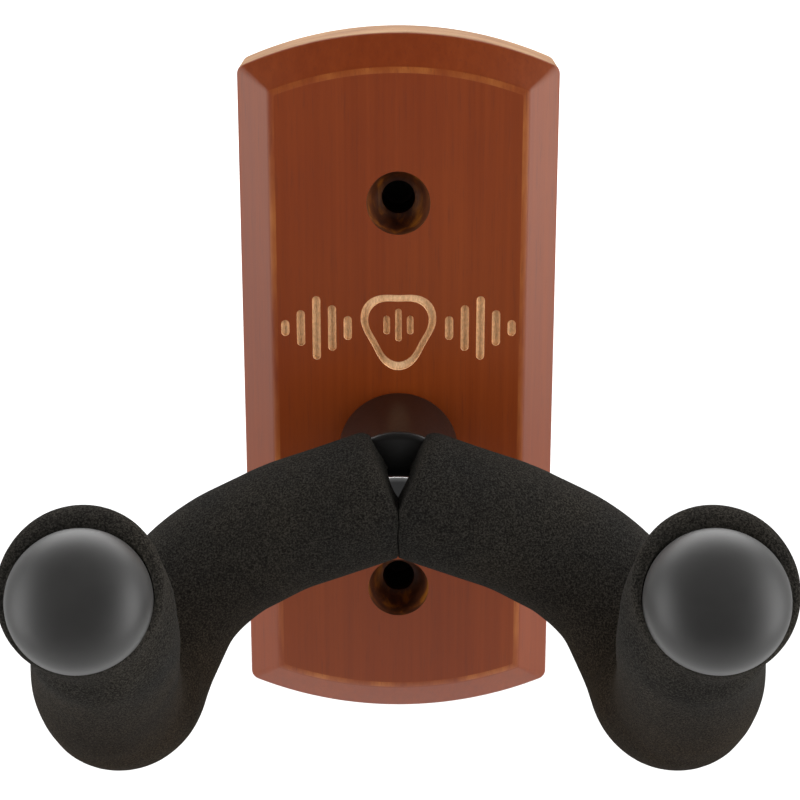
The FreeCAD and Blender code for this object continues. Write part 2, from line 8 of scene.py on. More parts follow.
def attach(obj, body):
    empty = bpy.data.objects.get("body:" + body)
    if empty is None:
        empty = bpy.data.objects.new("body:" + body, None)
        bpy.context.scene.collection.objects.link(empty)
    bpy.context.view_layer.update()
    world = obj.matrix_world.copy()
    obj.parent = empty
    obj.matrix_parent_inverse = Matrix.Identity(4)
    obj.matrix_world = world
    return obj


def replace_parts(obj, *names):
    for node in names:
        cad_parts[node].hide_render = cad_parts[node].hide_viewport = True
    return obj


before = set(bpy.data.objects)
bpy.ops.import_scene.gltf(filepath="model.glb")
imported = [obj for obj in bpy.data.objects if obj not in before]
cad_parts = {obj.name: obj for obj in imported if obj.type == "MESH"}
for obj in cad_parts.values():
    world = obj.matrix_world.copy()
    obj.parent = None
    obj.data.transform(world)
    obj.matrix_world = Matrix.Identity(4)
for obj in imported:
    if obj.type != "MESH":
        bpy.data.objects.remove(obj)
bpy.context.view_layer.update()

MM = 0.001
PIVOT_Z = -11.5 * MM
# the sleeves are hollowed to just outside the hub
HUB_RADIUS = 11.82 * MM
HUB_FRONT = 43.72 * MM
FORWARD = (0, -1, 0)
SIDES = (("right", 1), ("left", -1))
HOLES_Z = (37.9 * MM, -41.5 * MM)
SCREW_RADIUS = 3.25 * MM
RECESS_RADIUS = 11.5 * MM
RECESS_DEPTH = 11.5 * MM
BUSH_RADIUS = 6.5 * MM

# ------------------------------------------------------------------ mesh helpers


def mesh_object(name, verts, faces, material, sharp_deg=35.0):
    """New object whose faces all point outwards, smooth but for its sharper edges."""
    mesh = bpy.data.meshes.new(name)
    mesh.from_pydata([tuple(v) for v in verts], [], faces)
    mesh.validate()
    bm = bmesh.new()
    bm.from_mesh(mesh)
    bmesh.ops.recalc_face_normals(bm, faces=bm.faces)
    bm.to_mesh(mesh)
    bm.free()
    mesh.materials.append(material)
    finish_shading(mesh, sharp_deg)
    obj = bpy.data.objects.new(name, mesh)
    bpy.context.scene.collection.objects.link(obj)
    return obj


def finish_shading(mesh, sharp_deg):
    mesh.polygons.foreach_set("use_smooth", [True] * len(mesh.polygons))
    mesh.set_sharp_from_angle(angle=math.radians(sharp_deg))
    mesh.update()


def weighted(obj):
    """Let the large faces set the shading beside a narrow rounded edge."""
    mod = obj.modifiers.new("weighted_normals", "WEIGHTED_NORMAL")
    mod.keep_sharp = True
    mod.weight = 90


def stitch(rings, capped=False):
    """Faces between equally long closed rings of vertex numbers."""
    faces = []
    count = len(rings[0])
    for low, high in zip(rings, rings[1:]):
        for i in range(count):
            j = (i + 1) % count
            faces.append((low[i], low[j], high[j], high[i]))
    if capped:
        faces.append(tuple(reversed(rings[0])))
        faces.append(tuple(rings[-1]))
    return faces


def lathe(name, profile, origin, axis, material, segments=96, sharp_deg=35.0):
    """Turn (radius, along) pairs about an axis; a radius of 0 closes the end."""
    axis = Vector(axis).normalized()
    side = axis.orthogonal().normalized()
    other = axis.cross(side)
    verts, rings = [], []
    for radius, along in profile:
        base = Vector(origin) + axis * along
        if radius == 0:
            verts.append(base)
            rings.append([len(verts) - 1] * segments)
            continue
        start = len(verts)
        for i in range(segments):
            a = 2 * math.pi * i / segments
            verts.append(base + side * radius * math.cos(a) + other * radius * math.sin(a))
        rings.append(list(range(start, start + segments)))
    faces = []
    for face in stitch(rings):
        kept = tuple(dict.fromkeys(face))
        if len(kept) > 2:
            faces.append(kept)
    return mesh_object(name, verts, faces, material, sharp_deg)


# ------------------------------------------------------------------ materials


def new_material(name):
    mat = bpy.data.materials.new(name)
    mat.use_nodes = True
    tree = mat.node_tree
    return mat, tree, tree.nodes["Principled BSDF"]


def coords(tree, scale):
    where = tree.nodes.new("ShaderNodeTexCoord")
    mapping = tree.nodes.new("ShaderNodeMapping")
    mapping.inputs["Scale"].default_value = scale
    tree.links.new(where.outputs["Object"], mapping.inputs["Vector"])
    return mapping.outputs["Vector"]


def noise_node(tree, scale3, detail=4.0, rough=0.55, distort=0.0):
    node = tree.nodes.new("ShaderNodeTexNoise")
    node.inputs["Scale"].default_value = 1.0
    node.inputs["Detail"].default_value = detail
    node.inputs["Roughness"].default_value = rough
    node.inputs["Distortion"].default_value = distort
    tree.links.new(coords(tree, scale3), node.inputs["Vector"])
    return node.outputs["Fac"]


def place_along(tree, axis):
    where = tree.nodes.new("ShaderNodeSeparateXYZ")
    tree.links.new(coords(tree, (1.0, 1.0, 1.0)), where.inputs["Vector"])
    return where.outputs[axis]


def ramp(tree, fac, stops):
    """Colour by value, from (position, colour) stops."""
    node = tree.nodes.new("ShaderNodeValToRGB")
    element = node.color_ramp.elements
    while len(element) < len(stops):
        element.new(0.5)
    for item, (position, colour) in zip(element, stops):
        item.position = position
        item.color = (*colour, 1.0)
    tree.links.new(fac, node.inputs["Fac"])
    return node.outputs["Color"]


def grey(tree, fac, low, high, start=0.0, end=1.0):
    """Number from low to high while the value goes from start to end."""
    node = tree.nodes.new("ShaderNodeMapRange")
    node.inputs["From Min"].default_value = start
    node.inputs["From Max"].default_value = end
    node.inputs["To Min"].default_value = low
    node.inputs["To Max"].default_value = high
    tree.links.new(fac, node.inputs["Value"])
    return node.outputs["Result"]


def mix_colour(tree, fac, first, second, mode="MIX"):
    """Second colour over the first, fully where fac is None."""
    node = tree.nodes.new("ShaderNodeMix")
    node.data_type = "RGBA"
    node.blend_type = mode
    share, under, over, mixed = node.inputs[0], node.inputs[6], node.inputs[7], node.outputs[2]
    if fac is None:
        share.default_value = 1.0
    else:
        tree.links.new(fac, share)
    tree.links.new(first, under)
    if isinstance(second, tuple):
        over.default_value = (*second, 1.0)
    else:
        tree.links.new(second, over)
    return mixed


def bump(tree, bsdf, height, strength, distance):
    node = tree.nodes.new("ShaderNodeBump")
    node.inputs["Strength"].default_value = strength
    node.inputs["Distance"].default_value = distance
    tree.links.new(height, node.inputs["Height"])
    tree.links.new(node.outputs["Normal"], bsdf.inputs["Normal"])


def wood_material(name, worn_and_highlit):
    """Stained grain along Z, or the patchy lighter wood along the bevel's edge: partly
    rubbed-through lacquer and partly a painted highlight.
    """
    mat, tree, bsdf = new_material(name)
    fine = noise_node(tree, (3000.0, 2600.0, 130.0), 3.0, 0.6)
    cloud = noise_node(tree, (30.0, 30.0, 16.0), 2.0, 0.5)
    # lighter, more orange wood at the edge: partly rubbed-through lacquer, partly a painted
    # highlight
    if worn_and_highlit:
        streak = noise_node(tree, (190.0, 190.0, 45.0), 5.0, 0.6)
        stops = [(0.36, (0.20, 0.034, 0.006)), (0.52, (0.27, 0.066, 0.012)),
                 (0.70, (0.38, 0.120, 0.026))]
    else:
        streak = noise_node(tree, (820.0, 640.0, 9.0), 6.0, 0.62, 0.15)
        stops = [(0.28, (0.176, 0.0265, 0.0012)), (0.50, (0.197, 0.0310, 0.0018)),
                 (0.74, (0.219, 0.0365, 0.0026))]
    base = ramp(tree, streak, stops)
    tone = ramp(tree, cloud, [(0.35, (0.93, 0.86, 0.80)), (0.65, (1.05, 1.10, 1.15))])
    base = mix_colour(tree, None, base, tone, "MULTIPLY")
    pores = grey(tree, fine, 0.0, 0.42, 0.56, 0.70)
    base = mix_colour(tree, pores, base, (0.115, 0.020, 0.006))
    tree.links.new(base, bsdf.inputs["Base Color"])
    tree.links.new(grey(tree, streak, 0.36, 0.44), bsdf.inputs["Roughness"])
    bsdf.inputs["Specular IOR Level"].default_value = 0.41
    bsdf.inputs["Specular Tint"].default_value = (1.0, 0.93, 0.86, 1.0)
    bump(tree, bsdf, streak, 0.06, 0.3 * MM)
    return mat


def end_grain_reflection_material():
    """Paler, rougher wood of the two arched ends; the pale tan is partly end grain and partly a
    painted reflection of the bright background behind.
    """
    mat, tree, bsdf = new_material("end_grain_painted_reflection")
    pores = noise_node(tree, (1500.0, 1500.0, 400.0), 3.0, 0.6)
    cloud = noise_node(tree, (90.0, 240.0, 60.0), 3.0, 0.5)
    # pale tan: partly end grain, partly a painted reflection of the bright background
    base = ramp(tree, cloud, [(0.32, (0.235, 0.105, 0.038)), (0.68, (0.345, 0.185, 0.080))])
    spots = grey(tree, pores, 0.0, 0.45, 0.56, 0.70)
    base = mix_colour(tree, spots, base, (0.13, 0.045, 0.018))
    tree.links.new(base, bsdf.inputs["Base Color"])
    bsdf.inputs["Roughness"].default_value = 0.72
    bsdf.inputs["Specular IOR Level"].default_value = 0.12
    bump(tree, bsdf, pores, 0.15, 0.1 * MM)
    return mat


def bare_wood_material():
    """Pale unstained wood at the bottom of a cut."""
    mat, tree, bsdf = new_material("engraved_wood")
    streak = noise_node(tree, (700.0, 500.0, 22.0), 5.0, 0.6)
    fine = noise_node(tree, (3200.0, 3200.0, 1600.0), 2.0, 0.5)
    base = ramp(tree, streak, [(0.3, (0.74, 0.45, 0.24)), (0.7, (0.98, 0.67, 0.40))])
    tone = ramp(tree, fine, [(0.3, (0.8, 0.78, 0.74)), (0.7, (1.1, 1.1, 1.1))])
    base = mix_colour(tree, None, base, tone, "MULTIPLY")
    tree.links.new(base, bsdf.inputs["Base Color"])
    bsdf.inputs["Roughness"].default_value = 0.7
    bump(tree, bsdf, fine, 0.4, 0.2 * MM)
    return mat


def bowl_material():
    """Streaky lacquer in a screw hole, with painted shade at its rim and far inside."""
    mat, tree, bsdf = new_material("lacquered_bowl")
    streak = noise_node(tree, (420.0, 420.0, 60.0), 5.0, 0.6, 0.4)
    base = ramp(tree, streak, [(0.34, (0.050, 0.014, 0.006)), (0.52, (0.125, 0.033, 0.008)),
                               (0.66, (0.330, 0.105, 0.008))])
    depth = place_along(tree, "Y")
    # painted shade: the colour darkens towards the far end of the bore
    deep_painted_shade = grey(tree, depth, 0.0, 0.92, -11.5 * MM, -8.5 * MM)
    base = mix_colour(tree, deep_painted_shade, base, (0.010, 0.005, 0.003))
    # painted shade: a dark band round the bowl's rim, where it meets the face
    rim = grey(tree, depth, 0.80, 0.0, -17.2 * MM, -15.8 * MM)
    base = mix_colour(tree, rim, base, (0.022, 0.009, 0.005))
    tree.links.new(base, bsdf.inputs["Base Color"])
    tree.links.new(grey(tree, streak, 0.42, 0.58), bsdf.inputs["Roughness"])
    bsdf.inputs["Specular IOR Level"].default_value = 0.4
    bump(tree, bsdf, streak, 0.15, 0.4 * MM)
    return mat


def foam_material():
    """Fine-grained black foam, with painted shade that makes it darker and a little browner low
    down.
    """
    mat, tree, bsdf = new_material("black_foam")
    grain = noise_node(tree, (3100.0, 3100.0, 3100.0), 3.0, 0.75)
    cloud = noise_node(tree, (60.0, 60.0, 60.0), 4.0, 0.6)
    base = ramp(tree, grain, [(0.36, (0.0060, 0.0057, 0.0050)), (0.50, (0.0185, 0.0175, 0.0154)),
                              (0.64, (0.0410, 0.0384, 0.0335))])
    tone = ramp(tree, cloud, [(0.35, (0.88, 0.88, 0.90)), (0.70, (1.18, 1.12, 1.05))])
    base = mix_colour(tree, None, base, tone, "MULTIPLY")
    # painted shade: darker and browner towards the bottom of the arms
    low = grey(tree, place_along(tree, "Z"), 1.0, 0.0, -42 * MM, -18 * MM)
    base = mix_colour(tree, low, base, (0.95, 0.78, 0.62), "MULTIPLY")
    tree.links.new(base, bsdf.inputs["Base Color"])
    bsdf.inputs["Roughness"].default_value = 0.95
    bsdf.inputs["Specular IOR Level"].default_value = 0.02
    bump(tree, bsdf, grain, 0.80, 0.22 * MM)
    return mat


def cap_material():
    mat, tree, bsdf = new_material("cap_rubber")
    cloud = noise_node(tree, (160.0, 160.0, 160.0), 4.0, 0.6)
    fine = noise_node(tree, (3500.0, 3500.0, 3500.0), 2.0, 0.5)
    base = ramp(tree, cloud, [(0.3, (0.0150, 0.0143, 0.0135)), (0.7, (0.0195, 0.0188, 0.0178))])
    tree.links.new(base, bsdf.inputs["Base Color"])
    tree.links.new(grey(tree, cloud, 0.46, 0.54), bsdf.inputs["Roughness"])
    bump(tree, bsdf, fine, 0.05, 0.1 * MM)
    return mat


def metal_material(name, colour, rough, scale, metallic=1.0, specular=0.5):
    mat, tree, bsdf = new_material(name)
    bsdf.inputs["Specular IOR Level"].default_value = specular
    brushed = noise_node(tree, (scale, scale, scale), 3.0, 0.6)
    wear = noise_node(tree, (120.0, 120.0, 120.0), 4.0, 0.6)
    dark = tuple(c * 0.85 for c in colour)
    base = ramp(tree, wear, [(0.35, dark), (0.65, colour)])
    tree.links.new(base, bsdf.inputs["Base Color"])
    tree.links.new(grey(tree, brushed, rough * 0.8, rough * 1.25), bsdf.inputs["Roughness"])
    bsdf.inputs["Metallic"].default_value = metallic
    bump(tree, bsdf, brushed, 0.12, 0.05 * MM)
    return mat


def nylon_material(name, colour):
    mat, tree, bsdf = new_material(name)
    cloud = noise_node(tree, (300.0, 300.0, 300.0), 4.0, 0.6)
    dark = tuple(c * 0.88 for c in colour)
    tree.links.new(ramp(tree, cloud, [(0.3, dark), (0.7, colour)]), bsdf.inputs["Base Color"])
    tree.links.new(grey(tree, cloud, 0.38, 0.5), bsdf.inputs["Roughness"])
    bump(tree, bsdf, cloud, 0.1, 0.2 * MM)
    return mat


WOOD = wood_material("stained_wood", False)
# edge wood: partly rubbed-through lacquer, partly a painted highlight along the face's edge
WORN_AND_HIGHLIT = wood_material("rubbed_edge_painted_highlight", True)
END_GRAIN_REFLECTION = end_grain_reflection_material()
BARE = bare_wood_material()
BOWL = bowl_material()
FOAM = foam_material()
CAP = cap_material()
HUB = metal_material("black_hub", (0.0070, 0.0060, 0.0054), 0.32, 1400.0, 0.0, specular=0.34)
ROD = metal_material("polished_rod", (0.26, 0.26, 0.26), 0.09, 600.0)
STEEL = metal_material("plated_steel", (0.46, 0.46, 0.45), 0.24, 1200.0)
NYLON = nylon_material("nylon", (0.80, 0.79, 0.74))
NUT_NYLON = nylon_material("nut_nylon", (0.05, 0.14, 0.42))

# ------------------------------------------------------------------ wood block

HALF_WIDTH = 30.7 * MM
HALF_SIDE = 63.3 * MM
HALF_HEIGHT = 69.85 * MM
DEPTH = 17.0 * MM
BEVEL_WIDTH = 6.3 * MM
BEVEL_DEPTH = 4.0 * MM
RISE = HALF_HEIGHT - HALF_SIDE
ARCH = (HALF_WIDTH ** 2 + RISE ** 2) / (2 * RISE)
BEVEL_START = DEPTH - BEVEL_DEPTH
WORN_HIGHLIGHT_DEPTH = 0.2 * MM
CORNER_STEPS, ARCH_STEPS, SIDE_STEPS = 8, 22, 20


def block_loop(inset, rounding, y):
    """Outline moved inwards by inset, its four corners rounded, at depth y."""
    half = HALF_WIDTH - inset
    radius = ARCH - inset
    centre_z = HALF_HEIGHT - ARCH
    # rounded corner: a circle of this radius touching the side and the arch inside
    cx = half - rounding
    cz = centre_z + math.sqrt((radius - rounding) ** 2 - cx ** 2)
    tilt = math.atan2(cx, cz - centre_z)
    quarter = []
    for i in range(CORNER_STEPS + 1):
        a = (math.pi / 2 - tilt) * i / CORNER_STEPS
        quarter.append((cx + rounding * math.cos(a), cz + rounding * math.sin(a)))
    for i in range(1, ARCH_STEPS + 1):
        a = tilt * (1 - i / ARCH_STEPS)
        quarter.append((radius * math.sin(a), centre_z + radius * math.cos(a)))
    upper = quarter + [(-x, z) for x, z in reversed(quarter[:-1])]
    lower = [(-x, -z) for x, z in upper]
    side_x, side_z = upper[0]
    climb = [side_z * (2 * i / SIDE_STEPS - 1) for i in range(1, SIDE_STEPS)]
    left_side = [(-side_x, -z) for z in climb]
    right_side = [(side_x, z) for z in climb]
    return [Vector((x, y, z)) for x, z in upper + left_side + lower + right_side]


def ridge(before, corner, after, size, steps=4):
    """Soft edge: (inset, y) points that round a corner of the block's profile."""
    a, b, c = Vector(before), Vector(corner), Vector(after)
    start = b + (a - b).normalized() * size
    end = b + (c - b).normalized() * size
    points = []
    for i in range(steps + 1):
        t = i / steps
        points.append(start * (1 - t) ** 2 + b * 2 * t * (1 - t) + end * t ** 2)
    return points


def build_block():
    back_in, back, side_mid = (0.5 * MM, 0.0), (0.0, 0.0), (0.0, -5 * MM)
    bevel_out, bevel_in = (0.0, -BEVEL_START), (BEVEL_WIDTH, -DEPTH)
    face_in = (15 * MM, -DEPTH)
    profile = [Vector(back_in)]
    profile += ridge(back_in, back, side_mid, 0.35 * MM)
    profile += ridge(back, bevel_out, bevel_in, 0.45 * MM)
    profile += ridge(bevel_out, bevel_in, face_in, 0.85 * MM, 7)
    verts, rings = [], []
    for inset, y in profile:
        inset = max(inset, 0.0)
        corner = 1.6 * MM * (1 - min(inset / BEVEL_WIDTH, 1.0)) + 0.5 * MM
        start = len(verts)
        verts += block_loop(inset, corner, y)
        rings.append(list(range(start, len(verts))))
    faces = stitch(rings, capped=True)
    wood = mesh_object("wall_block_wood", verts, faces, WOOD, 40.0)
    wood.data.materials.append(WORN_AND_HIGHLIT)
    wood.data.materials.append(END_GRAIN_REFLECTION)
    for face in wood.data.polygons:
        centre = face.center
        if len(face.vertices) != 4:
            continue
        # the narrow band where the rounded edge meets the face: rubbed-through lacquer with a
        # painted highlight
        if -DEPTH < centre.y < -DEPTH + WORN_HIGHLIGHT_DEPTH:
            face.material_index = 1
        # the arched ends: end grain with a painted reflection
        elif centre.y > -BEVEL_START and abs(face.normal.z) > 0.6:
            face.material_index = 2
    return wood


def prism(outline, y_front, y_back, inner=None):
    """Closed prism along Y, with an optional island left standing inside it."""
    verts, rings = [], []
    for y in (y_front, y_back):
        start = len(verts)
        verts += [Vector((x, y, z)) for x, z in outline]
        rings.append(list(range(start, len(verts))))
    if inner is None:
        faces = stitch(rings, capped=True)
    else:
        holes = []
        for y in (y_front, y_back):
            start = len(verts)
            verts += [Vector((x, y, z)) for x, z in inner]
            holes.append(list(range(start, len(verts))))
        faces = stitch(rings) + stitch(holes)
        faces += stitch([rings[0], holes[0]]) + stitch([rings[1], holes[1]])
    return verts, faces


def capsule(x, z, half_height, half_width, steps=8):
    """Upright bar with rounded ends."""
    points = []
    reach = max(half_height - half_width, 0.0)
    for i in range(steps + 1):
        a = math.pi * i / steps
        points.append((x + half_width * math.cos(a), z + reach + half_width * math.sin(a)))
    for i in range(steps + 1):
        a = math.pi + math.pi * i / steps
        points.append((x + half_width * math.cos(a), z - reach + half_width * math.sin(a)))
    return points


def pick_outline(z, size, steps=72):
    """Rounded three-cornered outline with its point down."""
    points = []
    for i in range(steps):
        a = 2 * math.pi * i / steps
        wobble = 1.0 + 0.13 * math.cos(3 * (a + math.pi / 2))
        points.append((0.92 * size * wobble * math.cos(a), z + size * wobble * math.sin(a)))
    return points


MOTIF_Z = 13.2 * MM
MOTIF_DEPTH = 0.6 * MM
PICK_OUTER, PICK_INNER = 7.6 * MM, 6.1 * MM
FIRST_BAR, BAR_PITCH, BAR_HALF_WIDTH = 9.9 * MM, 3.05 * MM, 0.8 * MM
BAR_HALF_HEIGHTS = (2.4 * MM, 4.6 * MM, 6.4 * MM, 3.6 * MM, 1.6 * MM)
INNER_PITCH, INNER_RAISE, INNER_HALF_WIDTH = 2.3 * MM, 0.6 * MM, 0.65 * MM
INNER_HALF_HEIGHTS = ((-1, 1.9 * MM), (0, 3.3 * MM), (1, 1.9 * MM))


def motif_cutters():
    """Rounded pick outline with three bars inside and a row of bars on each side."""
    front, back = -(DEPTH + 1 * MM), -(DEPTH - MOTIF_DEPTH)
    outer, inner = pick_outline(MOTIF_Z, PICK_OUTER), pick_outline(MOTIF_Z, PICK_INNER)
    shapes = [prism(outer, front, back, inner)]
    for number, half in enumerate(BAR_HALF_HEIGHTS):
        x = FIRST_BAR + BAR_PITCH * number
        for side in (-1, 1):
            bar = capsule(side * x, MOTIF_Z, half, BAR_HALF_WIDTH)
            shapes.append(prism(bar, front, back))
    for number, half in INNER_HALF_HEIGHTS:
        bar = capsule(number * INNER_PITCH, MOTIF_Z + INNER_RAISE, half, INNER_HALF_WIDTH)
        shapes.append(prism(bar, front, back))
    return shapes


def cutter_object(name, parts):
    verts, faces = [], []
    for part_verts, part_faces in parts:
        base = len(verts)
        verts += part_verts
        faces += [tuple(base + i for i in face) for face in part_faces]
    return mesh_object(name, verts, faces, BARE)


def cut(target, cutter):
    """Exact boolean difference, applied at once."""
    mod = target.modifiers.new("cut", "BOOLEAN")
    mod.operation = "DIFFERENCE"
    mod.solver = "EXACT"
    mod.material_mode = "TRANSFER"
    mod.object = cutter
    deps = bpy.context.evaluated_depsgraph_get()
    result = bpy.data.meshes.new_from_object(target.evaluated_get(deps))
    target.modifiers.clear()
    target.data = result
    bpy.data.objects.remove(cutter)


def rounded_bowl():
    """Cutter for one screw hole: straight bore that flares into a rounded bowl."""
    behind, neck, ahead = -2.0 * MM, 10.7 * MM, 18.2 * MM
    profile = [(0.0, behind), (SCREW_RADIUS, behind), (SCREW_RADIUS, neck - 0.15 * MM)]
    steps = 14
    for i in range(1, steps + 1):
        a = math.pi / 2 * i / steps
        widen = 2.85 * MM * math.sin(a) ** 0.85
        climb = 6.3 * MM * (1 - math.cos(a)) ** 0.8
        profile.append((SCREW_RADIUS + 0.05 * MM + widen, neck + climb))
    return profile + [(6.45 * MM, 17.25 * MM), (7.0 * MM, ahead), (0.0, ahead)]


block = build_block()
for hole_z in HOLES_Z:
    cut(block, lathe("hole_tool", rounded_bowl(), (0, 0, hole_z), FORWARD, BOWL, 72))
bore = [(0.0, -2 * MM), (RECESS_RADIUS, -2 * MM), (RECESS_RADIUS, RECESS_DEPTH),
        (BUSH_RADIUS, RECESS_DEPTH), (BUSH_RADIUS, 19 * MM), (0.0, 19 * MM)]
cut(block, lathe("bore_tool", bore, (0, 0, PIVOT_Z), FORWARD, BARE, 72))
cut(block, cutter_object("motif_tool", motif_cutters()))
finish_shading(block.data, 40.0)
weighted(block)
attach(block, "base")
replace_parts(block, "wall_block")

# ------------------------------------------------------------------ foam sleeves

ROD_CORNERS = [Vector((0.0, -45.8, -9.7)) * MM, Vector((20.8, -45.8, -17.1)) * MM,
               Vector((38.0, -45.8, -25.8)) * MM, Vector((51.5, -55.4, -52.6)) * MM,
               Vector((47.5, -113.1, -4.0)) * MM]
ROD_BENDS = [40.0 * MM, 25.0 * MM, 14.5 * MM]
FOAM_RADIUS = 12.1 * MM
BORE_RADIUS = 4.05 * MM
HALF_GAP = 0.03 * MM
NOTCH_Z = -10.0 * MM
NOTCH_TAN = math.tan(math.radians(28.0))


def rod_path(lead):
    """Even points along the right half of the rod, from a little past its middle."""
    corners = list(ROD_CORNERS)
    corners[0] = corners[0] + (corners[0] - corners[1]).normalized() * lead
    points = [corners[0]]
    for before, here, after, radius in zip(corners, corners[1:], corners[2:], ROD_BENDS):
        u, w = (before - here).normalized(), (after - here).normalized()
        half = u.angle(w) / 2
        used = radius / math.tan(half)
        centre = here + (u + w).normalized() * (radius / math.sin(half))
        e1 = (here + u * used - centre).normalized()
        e2 = e1.cross(here + w * used - centre).normalized().cross(e1)
        sweep = math.pi - 2 * half
        count = max(6, int(sweep * radius / (0.7 * MM)))
        for i in range(count + 1):
            a = sweep * i / count
            points.append(centre + (e1 * math.cos(a) + e2 * math.sin(a)) * radius)
    points.append(corners[-1])
    return resample(points, 0.9 * MM)


def resample(points, step):
    """The same route as points about one step apart."""
    lengths = [0.0]
    for a, b in zip(points, points[1:]):
        lengths.append(lengths[-1] + (b - a).length)
    total = lengths[-1]
    count = int(total / step)
    out, k = [], 0
    for i in range(count + 1):
        s = total * i / count
        while k < len(lengths) - 2 and lengths[k + 1] < s:
            k += 1
        run = lengths[k + 1] - lengths[k]
        t = 0 if run == 0 else (s - lengths[k]) / run
        out.append(points[k].lerp(points[k + 1], t))
    return out


def frames(points):
    """Rotation-minimising frames: (point, direction, side, other)."""
    out = []
    side = Vector((0, 1, 0))
    for i, point in enumerate(points):
        ahead, behind = points[min(i + 1, len(points) - 1)], points[max(i - 1, 0)]
        t = (ahead - behind).normalized()
        side = (side - t * side.dot(t)).normalized()
        out.append((point, t, side, t.cross(side)))
    return out


AROUND = 128
LEAD = 9.0 * MM
SQUARE_FROM = 24 * MM
BORE_CLEAR = 14 * MM
CAP_SEAT = 11.06 * MM
INWARD = Vector((-1, 0, 0))
RIM_STEPS, LEAD_STEPS, LIP_STEPS = 8, 16, 8


def spokes(side, other):
    """Unit directions round a ring."""
    angles = [2 * math.pi * i / AROUND for i in range(AROUND)]
    return [side * math.cos(a) + other * math.sin(a) for a in angles]


def notch_boundary(z, hand):
    """Where a sleeve starts: the two meeting faces wave together, and part above the rod."""
    wave = hand * 0.12 * MM * math.sin(z / (1.1 * MM))
    return HALF_GAP + wave + max(0.0, z - NOTCH_Z) * NOTCH_TAN


def start_distance(origin, along, offset, hand):
    """How far along the straight lead a line of the sleeve starts."""
    low, high = -5 * MM, 40 * MM
    for _ in range(40):
        middle = (low + high) / 2
        p = origin + along * middle + offset
        if p.x < notch_boundary(p.z, hand):
            low = middle
        else:
            high = middle
    return high


def smooth(x):
    """0 to 1 with level ends."""
    x = min(max(x, 0.0), 1.0)
    return x * x * (3 - 2 * x)


def hump(x, centre, reach):
    """1 at the centre, falling softly to 0 at the reach on each side."""
    return smooth(1.0 - abs(x - centre) / reach)


def skin_point(n, up, t, distance):
    """Skin point about the rod, at this distance from its tip.

    The tube's end flares at the tip. Below it the tube leans inwards, and it swells a little at
    the elbow and on the underside of the shoulder. Lengths in the sum are in millimetres.
    """
    flare = smooth(1.0 - distance / (7 * MM))
    lean = smooth(distance / (8 * MM)) * smooth((46 * MM - distance) / (30 * MM))
    crown = smooth((distance - 70 * MM) / (14 * MM))
    elbow = hump(distance, 64 * MM, 14 * MM)
    bend = hump(distance, 85 * MM, 16 * MM)
    shoulder = hump(distance, 90 * MM, 22 * MM)
    height = n.dot(up)
    radius = 12.5 - 0.55 * lean - 0.40 * crown + 0.35 * elbow
    radius += 0.75 * shoulder * max(0.0, -(n.x + n.z) * 0.7071) ** 2
    radius += flare * (0.15 * (1 - height * height) + 0.75 * height * height)
    lift = 2.25 * smooth(1.0 - distance / (14 * MM))
    shift = up * lift + INWARD * (1.9 * lean + 1.4 * elbow - 0.9 * bend)
    return (n * radius + shift + t * (0.35 + 0.50 * height) * flare) * MM


def crown_rings(frame_at, hand):
    """Slanted end face at the rod's middle with its rounded rim, and the rim's size by spoke."""
    origin, along, side, other = frame_at
    around = spokes(side, other)
    rims = []
    for n in around:
        edge = n * FOAM_RADIUS
        z = (origin + along * start_distance(origin, along, edge, hand) + edge).z
        open_part = min(1.0, max(0.0, (z - NOTCH_Z + 1.5 * MM) / (6 * MM)))
        rims.append((0.35 + 1.75 * open_part) * MM)
    rings = []
    for radius in (BORE_RADIUS, 6.5 * MM, 8.5 * MM, 10.0 * MM):
        offsets = [n * min(radius, FOAM_RADIUS - rim) for n, rim in zip(around, rims)]
        rings.append([origin + along * start_distance(origin, along, offset, hand) + offset
                      for offset in offsets])
    for k in range(RIM_STEPS + 1):
        phi = math.pi / 2 * k / RIM_STEPS
        points = []
        for n, rim in zip(around, rims):
            offset = n * (FOAM_RADIUS - rim + rim * math.sin(phi))
            start = start_distance(origin, along, offset, hand)
            points.append(origin + along * (start + rim * (1 - math.cos(phi))) + offset)
        rings.append(points)
    return rings, rims


def lead_rings(frame_at, hand, rims, reach):
    """Rings that even out from the slanted rim to a square ring at this reach."""
    origin, along, side, other = frame_at
    around = spokes(side, other)
    starts = [start_distance(origin, along, n * FOAM_RADIUS, hand) + rim
              for n, rim in zip(around, rims)]
    return [[origin + along * (start + (reach - start) * k / LEAD_STEPS) + n * FOAM_RADIUS
             for n, start in zip(around, starts)] for k in range(1, LEAD_STEPS)]


def tip_rings(frame_at, up):
    """Rounded lip, end face, then down beside the cap to the bore."""
    p, t, side, other = frame_at
    around = spokes(side, other)
    edges = [skin_point(n, up, t, 0.0) for n in around]
    lips = [(1.25 + 1.55 * max(0.0, n.dot(up))) * MM for n in around]
    rings = []
    for k in range(1, LIP_STEPS + 1):
        phi = math.pi / 2 * k / LIP_STEPS
        rings.append([p + edge - n * lip * (1 - math.cos(phi)) + t * lip * math.sin(phi)
                      for n, edge, lip in zip(around, edges, lips)])
    for share, sink in ((0.35, 0.03 * MM), (0.75, 0.10 * MM), (1.0, 0.35 * MM)):
        points = []
        for n, edge, lip in zip(around, edges, lips):
            height = edge.dot(t) + lip
            outer = edge - n * lip
            outer += t * (height - outer.dot(t))
            inner = n * CAP_SEAT + t * max(height - sink, 0.0)
            points.append(p + outer.lerp(inner, share))
        rings.append(points)
    for radius in (CAP_SEAT, 8.0 * MM, BORE_RADIUS):
        rings.append([p + n * radius - t * 0.06 * MM for n in around])
    return rings


def uneven(v):
    """Soft unevenness of hand-fitted foam, none of it where the sleeves meet."""
    wave = noise.noise(v * 55.0) * 0.10 * MM + noise.noise(v * 170.0) * 0.05 * MM
    wave *= min(abs(v.x) / (3 * MM), 1.0)
    return v + Vector((0, wave, wave))


